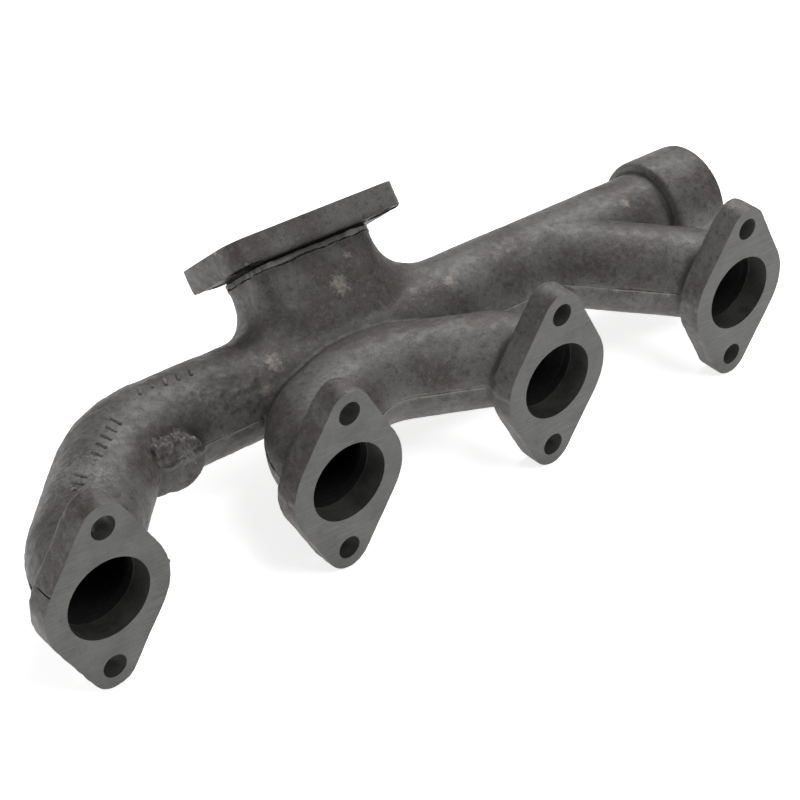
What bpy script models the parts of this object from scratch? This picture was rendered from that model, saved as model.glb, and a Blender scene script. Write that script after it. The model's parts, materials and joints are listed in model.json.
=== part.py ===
"""Four-port exhaust manifold section for an inline six diesel engine.

One hollow grey-iron casting carries four port flanges, a log, two runners and a twin-entry
turbocharger flange.  Its slip socket, where the next manifold section plugs in, holds a pack of
three split sealing rings in an internal groove.

Units are metres.  The origin is the centre of the turbocharger flange face, on the divider wall.
+X runs along the engine towards the slip socket, +Y points away from the cylinder head and +Z is
up, along the pairs of port bolts.
"""

import math

import bmesh
import bpy
from mathutils import Matrix, Vector

# Cylinder head side
PORT_PITCH = 0.130
PORT_COUNT = 4
BOLT_SPACING = 0.077
BOLT_HOLE_RADIUS = 0.0060
PORT_BORE_RADIUS = 0.02075
PORT_BORE_DEPTH = 0.0125
FLANGE_THICKNESS = 0.014
FLANGE_WAIST_RADIUS = 0.0315
FLANGE_LOBE_RADIUS = 0.012
RUNNER_FOOT_RADIUS = 0.0285
RUNNER_FOOT_LENGTH = 0.0055

# Log, runners and their gas passages
LOG_SETBACK = 0.088
LOG_RADIUS = 0.0249
RUNNER_RADIUS = 0.0240
PASSAGE_RADIUS = 0.0195
DUCT_END_RADIUS = 0.0150
LINK_RADIUS = 0.0140

# Turbocharger flange: the normal leans from +Z towards +Y by FACE_TILT
FACE_TILT = math.radians(41.5)
FACE_RISE = 0.0668
PLATE_HALF = Vector((0.0522, 0.0300))
PLATE_THICKNESS = 0.0135
PLATE_CORNER = 0.010
NECK_CENTRE_X = -0.0021
NECK_HALF = Vector((0.0377, 0.0230))
NECK_CORNERS = (0.016, 0.016, 0.010, 0.016)
NECK_BLEND_HEIGHT = 0.0225
NECK_BLEND_LEFT = 0.022
NECK_BLEND_RIGHT = 0.034
COLLAR_MARGIN = 0.0008
COLLAR_HEIGHT = 0.0048
DIVIDER = 0.006
DUCT_HALF = Vector((0.0135, 0.0180))
DUCT_CORNER = 0.007
DUCT_DEPTH = 0.034
TURBO_BOLT = Vector((0.0420, 0.0205))
TURBO_HOLE_RADIUS = 0.0053
SPOT_FACE_RADIUS = 0.0088
SPOT_FACE_DEPTH = 0.0010
SPOT_FACE_CLEARANCE = 0.0006

# Slip socket and its sealing rings
SOCKET_START = 0.212
SOCKET_END = 0.2445
SOCKET_RADIUS = 0.0305
SOCKET_SHOULDER = 0.0025
SOCKET_BORE_RADIUS = 0.0250
SOCKET_BORE_DEPTH = 0.0275
MOUTH_CHAMFER = 0.0012
GROOVE_CENTRE = 0.230
GROOVE_WIDTH = 0.0140
GROOVE_RADIUS = 0.0272
RING_OUTER_RADIUS = 0.0268
RING_INNER_RADIUS = 0.0244
RING_WIDTH = 0.0030
RING_CLEARANCE = 0.0003
RING_SPLIT = 0.0020

# Rough pad on the front of the log in the crook of the elbow, set out from port 1
LUG_X = 0.0775
LUG_SETBACK = 0.0590
LUG_HEIGHT = -0.0005
LUG_RADIUS = 0.0135

# Centrelines of the cast tubes: corners from each port, and the bend radius at each corner
ELBOW_STUB = 0.0257
ELBOW_REACH = 0.0602
ELBOW_BENDS = (0.043, 0.049)
ARCH_STUBS = (0.0292, 0.0378)
ARCH_CROWN = Vector((-0.0720, 0.0620))
ARCH_BENDS = (0.0260, 0.0500, 0.0380)
RUNNER_STUB = 0.0238
RUNNER_REACH = 0.0590
RUNNER_BENDS = (0.026,)
NECK_TURN_LEFT = 0.026
NECK_TURN_RIGHT = 0.036
NECK_TURN_X = 0.036

EDGE_BREAK = 0.0005
OVERLAP = 0.004
REACH = 0.002
TUBE_SIDES = 28
PASSAGE_SIDES = 22
BORE_SIDES = 40
HOLE_SIDES = 24
BEND_STEP = math.radians(12)
RING_SIDES = 64
MERGE = 1e-6
FLAT_FACE = 0.5

AXIS_X = Vector((1, 0, 0))
QUARTER = math.pi / 2
FACE_NORMAL = Vector((0, math.sin(FACE_TILT), math.cos(FACE_TILT)))
FACE_ACROSS = Vector((0, math.cos(FACE_TILT), -math.sin(FACE_TILT)))
LOG_AXIS = -FACE_RISE * FACE_NORMAL
HEAD_Y = LOG_AXIS.y - LOG_SETBACK
PORT_X = [(index - (PORT_COUNT - 1) / 2) * PORT_PITCH for index in range(PORT_COUNT)]


# Scene ------------------------------------------------------------------------------------------

def clear_scene():
    for item in list(bpy.data.objects):
        bpy.data.objects.remove(item, do_unlink=True)


def new_collection(name):
    collection = bpy.data.collections.new(name)
    bpy.context.scene.collection.children.link(collection)
    return collection


def plain_material(name, colour, roughness):
    material = bpy.data.materials.new(name)
    material.use_nodes = True
    shader = material.node_tree.nodes["Principled BSDF"]
    shader.inputs["Base Color"].default_value = (*colour, 1)
    shader.inputs["Metallic"].default_value = 0.9
    shader.inputs["Roughness"].default_value = roughness
    return material


def add_object(name, data, collection):
    item = bpy.data.objects.new(name, data)
    collection.objects.link(item)
    return item


def head_point(x, setback, height=0.0):
    """A point set back from the cylinder head face, its height taken from the port centres."""
    return Vector((x, HEAD_Y + setback, LOG_AXIS.z + height))


def face_point(x, across, rise):
    """A point in the turbocharger flange's own directions; rise is negative below its face."""
    return AXIS_X * x + FACE_ACROSS * across + FACE_NORMAL * rise


# Shapes -----------------------------------------------------------------------------------------

def tidy_mesh(mesh):
    """Merge meeting vertices and turn every face outwards."""
    body = bmesh.new()
    body.from_mesh(mesh)
    bmesh.ops.remove_doubles(body, verts=body.verts, dist=MERGE)
    bmesh.ops.recalc_face_normals(body, faces=body.faces)
    body.to_mesh(mesh)
    body.free()


def shade_round(item, axis):
    """Smooth the faces that stand along an axis; the ends and chamfers across it stay flat."""
    for face in item.data.polygons:
        face.use_smooth = abs(face.normal.dot(axis)) < FLAT_FACE
    return item


def shade_quads(item):
    """Smooth the skin of a swept body, whose flat ends are its only many-sided faces."""
    for face in item.data.polygons:
        face.use_smooth = len(face.vertices) == 4
    return item


def as_plain_mesh(source, collection):
    """Replace a curve or a modified object by the mesh that it makes, in world coordinates."""
    bpy.context.view_layer.update()
    depsgraph = bpy.context.evaluated_depsgraph_get()
    mesh = bpy.data.meshes.new_from_object(source.evaluated_get(depsgraph))
    mesh.transform(source.matrix_world)
    name = source.name
    bpy.data.objects.remove(source, do_unlink=True)
    tidy_mesh(mesh)
    mesh.name = name
    return add_object(name, mesh, collection)


def tube(name, points, radius, collection, end_radius=None, sides=TUBE_SIDES):
    """A round bar swept along points, its radius changing evenly from start to end."""
    curve = bpy.data.curves.new(name, "CURVE")
    curve.dimensions = "3D"
    curve.bevel_depth = radius
    curve.bevel_resolution = (sides - 4) // 2
    curve.use_fill_caps = True
    curve.twist_mode = "MINIMUM"
    spline = curve.splines.new("POLY")
    spline.points.add(len(points) - 1)
    taper = 1.0 if end_radius is None else end_radius / radius
    for index, point in enumerate(points):
        spline.points[index].co = (*point, 1)
        spline.points[index].radius = 1 + (taper - 1) * index / (len(points) - 1)
    return shade_quads(as_plain_mesh(add_object(name, curve, collection), collection))


def slab(name, outline, thickness, collection, edge=0.0):
    """A flat piece on the XY plane, its outline extruded up by thickness, both edges broken."""
    curve = bpy.data.curves.new(name, "CURVE")
    curve.dimensions = "2D"
    curve.fill_mode = "BOTH"
    curve.extrude = thickness / 2 - edge
    curve.bevel_depth = edge
    curve.bevel_resolution = 0
    curve.offset = -edge
    spline = curve.splines.new("POLY")
    spline.points.add(len(outline) - 1)
    for index, point in enumerate(outline):
        spline.points[index].co = (point.x, point.y, thickness / 2, 1)
    spline.use_cyclic_u = True
    item = as_plain_mesh(add_object(name, curve, collection), collection)
    return shade_round(item, Vector((0, 0, 1)))


def place(item, matrix):
    item.data.transform(matrix)
    return item


def face_frame(x, rise):
    """Stands XY on the turbocharger flange, X along the engine and Z out of the face."""
    return Matrix.Translation(face_point(x, 0, rise)) @ Matrix.Rotation(-FACE_TILT, 4, "X")


def port_frame(index):
    """Stands XY on a port flange's back, Z pointing towards the cylinder head."""
    back = head_point(PORT_X[index], FLANGE_THICKNESS)
    return Matrix.Translation(back) @ Matrix.Rotation(QUARTER, 4, "X")


def cylinder(name, start, end, radius, collection, sides=HOLE_SIDES, end_radius=None):
    """A straight cylinder or cone between two points."""
    axis = end - start
    turn = axis.to_track_quat("Z", "Y").to_matrix().to_4x4()
    body = bmesh.new()
    bmesh.ops.create_cone(
        body,
        cap_ends=True,
        segments=sides,
        radius1=radius,
        radius2=radius if end_radius is None else end_radius,
        depth=axis.length,
        matrix=Matrix.Translation((start + end) / 2) @ turn,
    )
    mesh = bpy.data.meshes.new(name)
    body.to_mesh(mesh)
    body.free()
    return shade_round(add_object(name, mesh, collection), axis.normalized())


def block(name, low, high, collection):
    size = high - low
    body = bmesh.new()
    scale = Matrix.Diagonal((*size, 1))
    bmesh.ops.create_cube(body, size=1, matrix=Matrix.Translation((low + high) / 2) @ scale)
    mesh = bpy.data.meshes.new(name)
    body.to_mesh(mesh)
    body.free()
    return add_object(name, mesh, collection)


def turning(name, profile, sides, collection, closed=False):
    """A body turned about the log axis from a profile of (x, radius) stations."""
    mesh = bpy.data.meshes.new(name)
    points = [Vector((x, radius, 0)) for x, radius in profile]
    edges = [(index, index + 1) for index in range(len(points) - 1)]
    if closed:
        edges.append((len(points) - 1, 0))
    mesh.from_pydata(points, edges, [])
    source = add_object(name, mesh, collection)
    source.location = (0, LOG_AXIS.y, LOG_AXIS.z)
    screw = source.modifiers.new("turn", "SCREW")
    screw.axis = "X"
    screw.steps = sides
    screw.render_steps = sides
    screw.use_merge_vertices = True
    screw.merge_threshold = MERGE
    return shade_round(as_plain_mesh(source, collection), AXIS_X)


def loft(name, rings, collection):
    """A closed body through rings of points that all have the same count."""
    body = bmesh.new()
    loops = [[body.verts.new(point) for point in ring] for ring in rings]
    count = len(rings[0])
    for lower, upper in zip(loops, loops[1:]):
        for index in range(count):
            following = (index + 1) % count
            body.faces.new((lower[index], lower[following], upper[following], upper[index]))
    body.faces.new(list(reversed(loops[0])))
    body.faces.new(loops[-1])
    mesh = bpy.data.meshes.new(name)
    body.to_mesh(mesh)
    body.free()
    tidy_mesh(mesh)
    return shade_quads(add_object(name, mesh, collection))


def combine(target, tool, operation):
    tool.hide_render = True
    tool.display_type = "WIRE"
    modifier = target.modifiers.new(tool.name, "BOOLEAN")
    modifier.operation = operation
    modifier.solver = "EXACT"
    modifier.object = tool


# Outlines and centrelines -----------------------------------------------------------------------

def arc(centre, radius, start, end, count):
    angles = [start + (end - start) * index / count for index in range(count + 1)]
    return [centre + radius * Vector((math.cos(a), math.sin(a))) for a in angles]


def port_outline():
    """Flange outline: a round waist and two bolt lobes joined by straight tangents."""
    centre = Vector((0, 0))
    top = Vector((0, BOLT_SPACING / 2))
    slope = math.asin((FLANGE_WAIST_RADIUS - FLANGE_LOBE_RADIUS) / top.y)
    outline = arc(centre, FLANGE_WAIST_RADIUS, -slope, slope, 8)
    outline += arc(top, FLANGE_LOBE_RADIUS, slope, 2 * QUARTER - slope, 10)
    outline += arc(centre, FLANGE_WAIST_RADIUS, 2 * QUARTER - slope, 2 * QUARTER + slope, 8)
    outline += arc(-top, FLANGE_LOBE_RADIUS, 2 * QUARTER + slope, 4 * QUARTER - slope, 10)
    return outline


def rounded_rectangle(half, corners, count=6):
    """Outline of a rectangle with four corner radii, and the outward direction at each point."""
    outline = []
    outward = []
    signs = ((1, 1), (-1, 1), (-1, -1), (1, -1))
    for index, ((sx, sy), corner) in enumerate(zip(signs, corners)):
        centre = Vector((sx * (half.x - corner), sy * (half.y - corner)))
        start = index * QUARTER
        outline += arc(centre, corner, start, start + QUARTER, count)
        outward += arc(Vector((0, 0)), 1.0, start, start + QUARTER, count)
    return outline, outward


def centreline(corners, bends):
    """Points along a line of corners, each inner corner rounded to its bend radius."""
    points = [corners[0]]
    for before, corner, after, bend in zip(corners, corners[1:], corners[2:], bends):
        arriving = (before - corner).normalized()
        leaving = (after - corner).normalized()
        half = arriving.angle(leaving) / 2
        centre = corner + (arriving + leaving).normalized() * bend / math.sin(half)
        start = corner + arriving * bend / math.tan(half) - centre
        end = corner + leaving * bend / math.tan(half) - centre
        turn = start.angle(end)
        steps = max(2, math.ceil(turn / BEND_STEP))
        axis = start.cross(end)
        for index in range(steps + 1):
            points.append(centre + Matrix.Rotation(turn * index / steps, 3, axis) @ start)
    points.append(corners[-1])
    return points


def elbow_corners():
    """Port 1 out, round the elbow and onto the log axis."""
    x = PORT_X[0]
    return [head_point(x, OVERLAP), head_point(x, ELBOW_STUB), head_point(x + ELBOW_REACH, LOG_SETBACK)]


def arch_line():
    """Port 3 out, leftwards in front of the log and back down to port 2."""
    start = PORT_X[2]
    end = PORT_X[1]
    corners = [
        head_point(start, OVERLAP),
        head_point(start, ARCH_STUBS[0]),
        head_point(start + ARCH_CROWN.x, ARCH_CROWN.y),
        head_point(end, ARCH_STUBS[1]),
        head_point(end, OVERLAP),
    ]
    return centreline(corners, ARCH_BENDS)


def runner_line():
    """Port 4 out and slanting back to the log axis."""
    x = PORT_X[3]
    corners = [
        head_point(x, OVERLAP),
        head_point(x, RUNNER_STUB),
        head_point(x - RUNNER_REACH, LOG_SETBACK),
    ]
    return centreline(corners, RUNNER_BENDS)


# Outside of the casting -------------------------------------------------------------------------

def port_flange(index, tools):
    item = slab(f"port_flange_{index + 1}", port_outline(), FLANGE_THICKNESS, tools, EDGE_BREAK)
    return place(item, port_frame(index))


def runner_foot(index, tools):
    start = head_point(PORT_X[index], FLANGE_THICKNESS - OVERLAP / 2)
    end = head_point(PORT_X[index], FLANGE_THICKNESS + RUNNER_FOOT_LENGTH)
    name = f"runner_foot_{index + 1}"
    return cylinder(name, start, end, RUNNER_FOOT_RADIUS, tools, TUBE_SIDES, RUNNER_RADIUS)


def plate(tools):
    outline, _ = rounded_rectangle(PLATE_HALF, (PLATE_CORNER,) * 4)
    item = slab("turbo_plate", outline, PLATE_THICKNESS, tools, EDGE_BREAK)
    return place(item, face_frame(0, -PLATE_THICKNESS))


def collar(tools):
    margin = Vector((COLLAR_MARGIN, COLLAR_MARGIN))
    outline, _ = rounded_rectangle(NECK_HALF + margin, NECK_CORNERS)
    item = slab("turbo_collar", outline, COLLAR_HEIGHT + OVERLAP / 2, tools, EDGE_BREAK)
    return place(item, face_frame(NECK_CENTRE_X, -PLATE_THICKNESS - COLLAR_HEIGHT))


def neck_ring(wall, outward, climb):
    """Outline of the neck where it stands climb above the log's skin."""
    rest = min(NECK_BLEND_HEIGHT - climb, NECK_BLEND_HEIGHT) / NECK_BLEND_HEIGHT
    flare = 1 - math.sqrt(1 - rest ** 2)
    ring = []
    for point, facing in zip(wall, outward):
        reach = NECK_BLEND_RIGHT if facing.x > 0 else NECK_BLEND_LEFT
        x = NECK_CENTRE_X + point.x + flare * reach * facing.x * abs(facing.x)
        log_top = math.sqrt(LOG_RADIUS ** 2 - point.y ** 2)
        ring.append(face_point(x, point.y, log_top + climb - FACE_RISE))
    return ring


def neck(tools):
    """Boxy neck under the plate; its two ends sweep down onto the round top of the log."""
    wall, outward = rounded_rectangle(NECK_HALF, NECK_CORNERS)
    climbs = (-0.0040, 0.0, 0.0004, 0.0014, 0.0035, 0.0065, 0.0105, 0.0155, NECK_BLEND_HEIGHT)
    rings = [neck_ring(wall, outward, climb) for climb in climbs]
    top = OVERLAP / 2 - PLATE_THICKNESS
    rings.append([face_point(NECK_CENTRE_X + point.x, point.y, top) for point in wall])
    return loft("turbo_neck", rings, tools)


def elbow_lug(tools):
    x = PORT_X[0] + LUG_X
    start = head_point(x, LOG_SETBACK, LUG_HEIGHT)
    end = head_point(x, LUG_SETBACK, LUG_HEIGHT)
    return cylinder("elbow_lug", start, end, LUG_RADIUS, tools)


def socket_shell(tools):
    profile = [
        (SOCKET_START - SOCKET_SHOULDER / 2, 0),
        (SOCKET_START - SOCKET_SHOULDER / 2, SOCKET_RADIUS - SOCKET_SHOULDER),
        (SOCKET_START + SOCKET_SHOULDER / 2, SOCKET_RADIUS),
        (SOCKET_END - EDGE_BREAK, SOCKET_RADIUS),
        (SOCKET_END, SOCKET_RADIUS - EDGE_BREAK),
        (SOCKET_END, 0),
    ]
    return turning("socket_shell", profile, BORE_SIDES, tools)


def outside_pieces(tools):
    pieces = [
        tube("arch_tube", arch_line(), RUNNER_RADIUS, tools),
        tube("runner_tube", runner_line(), RUNNER_RADIUS, tools),
    ]
    pieces += [port_flange(index, tools) for index in range(PORT_COUNT)]
    pieces += [runner_foot(index, tools) for index in range(PORT_COUNT)]
    pieces += [elbow_lug(tools), neck(tools)]
    pieces += [collar(tools), plate(tools), socket_shell(tools)]
    return pieces


# Inside of the casting --------------------------------------------------------------------------

def gas_passages(tools):
    duct_x = DIVIDER / 2 + DUCT_HALF.x
    duct_top = -DUCT_DEPTH + REACH * 3
    left_x = -duct_x - 0.0015
    left = elbow_corners()
    left += [head_point(left_x, LOG_SETBACK), face_point(left_x, 0, duct_top)]
    left_line = centreline(left, (*ELBOW_BENDS, NECK_TURN_LEFT))
    right = [
        head_point(SOCKET_END - SOCKET_BORE_DEPTH + REACH, LOG_SETBACK),
        head_point(NECK_TURN_X, LOG_SETBACK),
        face_point(duct_x, 0, duct_top),
    ]
    right_line = centreline(right, (NECK_TURN_RIGHT,))
    link_start = head_point(-duct_x, ARCH_CROWN.y - 0.006)
    link_end = head_point(-duct_x, LOG_SETBACK + 0.004, 0.003)
    runs = [
        ("passage_1", left_line, DUCT_END_RADIUS),
        ("passage_2_3", arch_line(), PASSAGE_RADIUS),
        ("passage_4", runner_line(), PASSAGE_RADIUS),
        ("passage_socket", right_line, DUCT_END_RADIUS),
    ]
    passages = [tube(name, line, PASSAGE_RADIUS, tools, end, PASSAGE_SIDES) for name, line, end in runs]
    passages.append(cylinder("passage_link", link_start, link_end, LINK_RADIUS, tools))
    return passages


def turbo_duct(label, side, tools):
    outline, _ = rounded_rectangle(DUCT_HALF, (DUCT_CORNER,) * 4)
    item = slab(f"turbo_duct_{label}", outline, DUCT_DEPTH + REACH, tools)
    return place(item, face_frame(side * (DIVIDER / 2 + DUCT_HALF.x), -DUCT_DEPTH))


def port_machining(index, tools):
    x = PORT_X[index]
    front = head_point(x, -REACH)
    floor = head_point(x, PORT_BORE_DEPTH)
    bore = cylinder(f"port_bore_{index + 1}", front, floor, PORT_BORE_RADIUS, tools, BORE_SIDES)
    cutters = [bore]
    for label, height in (("upper", BOLT_SPACING / 2), ("lower", -BOLT_SPACING / 2)):
        front = head_point(x, -REACH, height)
        back = head_point(x, FLANGE_THICKNESS + REACH, height)
        name = f"port_hole_{index + 1}_{label}"
        cutters.append(cylinder(name, front, back, BOLT_HOLE_RADIUS, tools))
    return cutters


def turbo_machining(tools):
    cutters = []
    for number, (sx, sy) in enumerate(((1, 1), (-1, 1), (-1, -1), (1, -1)), start=1):
        x = sx * TURBO_BOLT.x
        across = sy * TURBO_BOLT.y
        below = face_point(x, across, -PLATE_THICKNESS - REACH)
        above = face_point(x, across, REACH)
        seat_start = face_point(x, across, -PLATE_THICKNESS - SPOT_FACE_CLEARANCE)
        seat_end = face_point(x, across, -PLATE_THICKNESS + SPOT_FACE_DEPTH)
        cutters.append(cylinder(f"turbo_hole_{number}", below, above, TURBO_HOLE_RADIUS, tools))
        cutters.append(cylinder(f"turbo_seat_{number}", seat_start, seat_end, SPOT_FACE_RADIUS, tools))
    return cutters


def socket_machining(tools):
    """Bore, ring groove and mouth chamfer as one turned cutter."""
    groove_start = GROOVE_CENTRE - GROOVE_WIDTH / 2
    groove_end = GROOVE_CENTRE + GROOVE_WIDTH / 2
    profile = [
        (SOCKET_END - SOCKET_BORE_DEPTH, 0),
        (SOCKET_END - SOCKET_BORE_DEPTH, SOCKET_BORE_RADIUS),
        (groove_start, SOCKET_BORE_RADIUS),
        (groove_start, GROOVE_RADIUS),
        (groove_end, GROOVE_RADIUS),
        (groove_end, SOCKET_BORE_RADIUS),
        (SOCKET_END - MOUTH_CHAMFER, SOCKET_BORE_RADIUS),
        (SOCKET_END + REACH, SOCKET_BORE_RADIUS + MOUTH_CHAMFER + REACH),
        (SOCKET_END + REACH, 0),
    ]
    return turning("socket_bore", profile, BORE_SIDES, tools)


def build_casting(parts, tools, material):
    log_end = head_point(SOCKET_START + 0.010, LOG_SETBACK)
    log_line = centreline(elbow_corners() + [log_end], ELBOW_BENDS)
    casting = tube("manifold_casting", log_line, LOG_RADIUS, parts)
    for piece in outside_pieces(tools):
        combine(casting, piece, "UNION")
    cutters = gas_passages(tools)
    cutters += [turbo_duct("left", -1, tools), turbo_duct("right", 1, tools)]
    for index in range(PORT_COUNT):
        cutters += port_machining(index, tools)
    cutters += turbo_machining(tools)
    cutters.append(socket_machining(tools))
    for cutter in cutters:
        combine(casting, cutter, "DIFFERENCE")
    casting.data.materials.append(material)
    return casting


# Sealing rings ----------------------------------------------------------------------------------

def build_ring(name, position, split_angle, parts, tools, material):
    """A split ring that springs into the socket groove; the split is a square-cut gap."""
    centre_x = GROOVE_CENTRE + position * (RING_WIDTH + RING_CLEARANCE)
    low_x = centre_x - RING_WIDTH / 2
    high_x = centre_x + RING_WIDTH / 2
    profile = [
        (low_x, RING_INNER_RADIUS),
        (low_x, RING_OUTER_RADIUS),
        (high_x, RING_OUTER_RADIUS),
        (high_x, RING_INNER_RADIUS),
    ]
    ring = turning(name, profile, RING_SIDES, parts, closed=True)
    low = Vector((low_x - REACH, RING_INNER_RADIUS - REACH, -RING_SPLIT / 2))
    high = Vector((high_x + REACH, RING_OUTER_RADIUS + REACH, RING_SPLIT / 2))
    split = block(f"{name}_split", low, high, tools)
    axis_point = Matrix.Translation((0, LOG_AXIS.y, LOG_AXIS.z))
    place(split, axis_point @ Matrix.Rotation(split_angle, 4, "X"))
    combine(ring, split, "DIFFERENCE")
    ring.data.materials.append(material)
    return ring


def main():
    clear_scene()
    parts = new_collection("exhaust_manifold")
    tools = new_collection("exhaust_manifold_tools")
    iron = plain_material("cast_iron", (0.23, 0.22, 0.21), 0.62)
    ring_iron = plain_material("ring_iron", (0.42, 0.42, 0.43), 0.35)
    build_casting(parts, tools, iron)
    build_ring("seal_ring_inner", -1, math.radians(90), parts, tools, ring_iron)
    build_ring("seal_ring_middle", 0, math.radians(210), parts, tools, ring_iron)
    build_ring("seal_ring_mouth", 1, math.radians(330), parts, tools, ring_iron)


main()
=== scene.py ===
import json
import math

import bmesh
import bpy
import numpy as np
from mathutils import Matrix, Vector
from mathutils.bvhtree import BVHTree
from mathutils.kdtree import KDTree


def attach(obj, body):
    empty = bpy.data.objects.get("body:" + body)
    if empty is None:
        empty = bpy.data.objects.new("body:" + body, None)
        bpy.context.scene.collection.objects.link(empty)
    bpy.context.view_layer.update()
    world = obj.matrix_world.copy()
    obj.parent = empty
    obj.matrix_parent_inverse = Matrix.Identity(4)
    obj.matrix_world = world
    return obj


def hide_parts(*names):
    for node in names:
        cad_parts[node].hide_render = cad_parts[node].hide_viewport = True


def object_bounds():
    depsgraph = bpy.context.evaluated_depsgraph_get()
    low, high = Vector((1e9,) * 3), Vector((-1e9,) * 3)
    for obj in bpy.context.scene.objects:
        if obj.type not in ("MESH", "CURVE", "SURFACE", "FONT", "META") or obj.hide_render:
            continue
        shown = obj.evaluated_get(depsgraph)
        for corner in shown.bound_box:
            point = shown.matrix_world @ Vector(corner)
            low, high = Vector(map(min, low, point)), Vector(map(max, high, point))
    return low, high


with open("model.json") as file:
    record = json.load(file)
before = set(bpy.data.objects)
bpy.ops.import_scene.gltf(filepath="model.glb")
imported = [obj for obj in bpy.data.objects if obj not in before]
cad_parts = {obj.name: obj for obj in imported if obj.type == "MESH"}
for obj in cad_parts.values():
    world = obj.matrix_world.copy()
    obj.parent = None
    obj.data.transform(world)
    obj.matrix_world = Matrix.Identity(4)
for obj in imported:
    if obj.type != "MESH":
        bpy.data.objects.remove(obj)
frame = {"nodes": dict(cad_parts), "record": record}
cad_low, cad_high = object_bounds()

# Sizes of the casting, in metres, in the frame's own axes
BOLT_SPACING = 0.077
BOLT_HOLE_RADIUS = 0.0060
PORT_BORE_RADIUS = 0.02075
PORT_BORE_DEPTH = 0.0125
BOLT_HEIGHTS = (BOLT_SPACING / 2, -BOLT_SPACING / 2)
PASSAGE_RADIUS = 0.0195
THROAT_RADIUS = 0.0203
THROAT_OVERLAP = 0.001
THROAT_LENGTH = 0.004
FLANGE_THICKNESS = 0.014
LOG_SETBACK = 0.088
LOG_RADIUS = 0.0249
PLATE_THICKNESS = 0.0135
TURBO_BOLT = Vector((0.0420, 0.0205))
TURBO_HOLE_RADIUS = 0.0053
SPOT_FACE_RADIUS = 0.0088
SPOT_FACE_DEPTH = 0.0010
SEAT_CLEARANCE = 0.0003
SOCKET_BORE_RADIUS = 0.0250
SOCKET_BORE_DEPTH = 0.0275
MOUTH_CHAMFER = 0.0012
GROOVE_CENTRE = 0.230
GROOVE_WIDTH = 0.0140
GROOVE_RADIUS = 0.0272

# Centrelines of the tubes, in the level plane of the port centres: corners from each port and bends
TUBE_START = 0.004
ELBOW_STUB = 0.0257
ELBOW_REACH = 0.0602
ELBOW_BENDS = (0.043, 0.049)
ARCH_STUBS = (0.0292, 0.0378)
ARCH_CROWN = Vector((-0.0720, 0.0620))
ARCH_BENDS = (0.0260, 0.0500, 0.0380)
RUNNER_RADIUS = 0.0240
RUNNER_STUB = 0.0238
RUNNER_REACH = 0.0590
RUNNER_BENDS = (0.026,)
NECK_TURNS = (0.026, 0.036)
NECK_TURN_X = 0.036
SOCKET_START = 0.212
LOG_OVERRUN = 0.01

# Neck, the clean band under the plate, the two ducts and the link from the arch to the left one
NECK_CENTRE_X = -0.0021
NECK_HALF = Vector((0.0377, 0.0230))
NECK_CORNERS = (0.016, 0.016, 0.010, 0.016)
BAND_HEIGHT = 0.0045
BAND_MARGIN = 0.0002
BAND_OUTSIDE = Vector((0.070, 0.045))
BAND_CORNER = 0.01
UNDERCUT_RADIUS = 0.00105
GROOVE_DROP = 0.0006
SCORE_RADIUS = 0.00042
SCORE_LEAST = 0.00012
SCORE_SPACING = 0.0012
DIVIDER = 0.006
DUCT_HALF = Vector((0.0135, 0.0180))
DUCT_CORNER = 0.007
DUCT_DEPTH = 0.034
DUCT_X = DIVIDER / 2 + DUCT_HALF.x
DUCT_OVERLAP = 0.006
DUCT_END_RADIUS = 0.0150
LEFT_TURN_SHIFT = 0.0015
PASSAGE_OVERLAP = 0.002
LINK_RADIUS = 0.0140
LINK_START = 0.006
LINK_OVERRUN = 0.004
LINK_RISE = 0.003

# Broken lug in the elbow, with a slanting ridge on its face
LUG_CENTRE = Vector((-0.1175, -0.0735, -0.0510))
LUG_RADIUS = 0.0142
LUG_LENGTH = 0.014
LUG_STEP = 0.0031
LUG_EDGE = 0.0003
LUG_PROUD = 0.0006
LUG_SPREAD = Vector((-0.0095, 0, 0.0015))
LIP_PLACE = 0.0006
LIP_WIDTH = 0.0007
LIP_HEIGHT = 0.0004
RIDGE_X = -0.1135
RIDGE_Z = -0.0435
RIDGE_SLOPE = 1.10
RIDGE_WIDTH = 0.0011
RIDGE_HEIGHT = 0.0012
RIDGE_START = -0.1180
RIDGE_FADE = 0.002

# Scored line and small nib on the edges of the first flange
NICK_PLACE = Vector((-0.2257, -0.1252, -0.0355))
NICK_LENGTH = 0.0060
NICK_WIDTH = 0.0007
NICK_LEAN = math.radians(3)
NIB_PLACE = Vector((-0.1634, -0.1290, -0.0482))
NIB_SIZE = 0.0014

# Flash in the parting plane
FLASH_THICKNESS = 0.0007
FLASH_RISE = 0.0005
LOG_FLASH = 0.0002
RUNNER_FLASH = 0.00025

# Places on the skin: smoothed corners beside the neck, and the ragged patch of the log
SOFT_CORNERS = (
    (Vector((-0.0590, -0.0310, -0.0290)), 0.026),
    (Vector((-0.0500, -0.0420, -0.0260)), 0.022),
    (Vector((0.0480, -0.0280, -0.0280)), 0.020),
)
RAGGED_PLACE = Vector((-0.0760, -0.0640, -0.0400))
RAGGED_REACH = 0.022

# How the voxel skin is rounded and its inner corners filled
ROUND_STEPS = 4
CREASE_LEVELS = (0.035, 0.10)
SOCKET_STEP_X = (0.204, 0.207)
BAND_RISE = (-0.024, -0.020)
LUG_CLEAR = 0.024
SPREAD_STEPS = 7
SPREAD_GAIN = 1.12
BLUR_STEPS = 5
FILLET_STEPS = 28
SOFT_STEPS = 90
FILLET_RATE = 0.55
CAVITY_REACH = 0.0085
CAVITY_STEPS = 8
CAVITY_BLUR = 3

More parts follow.
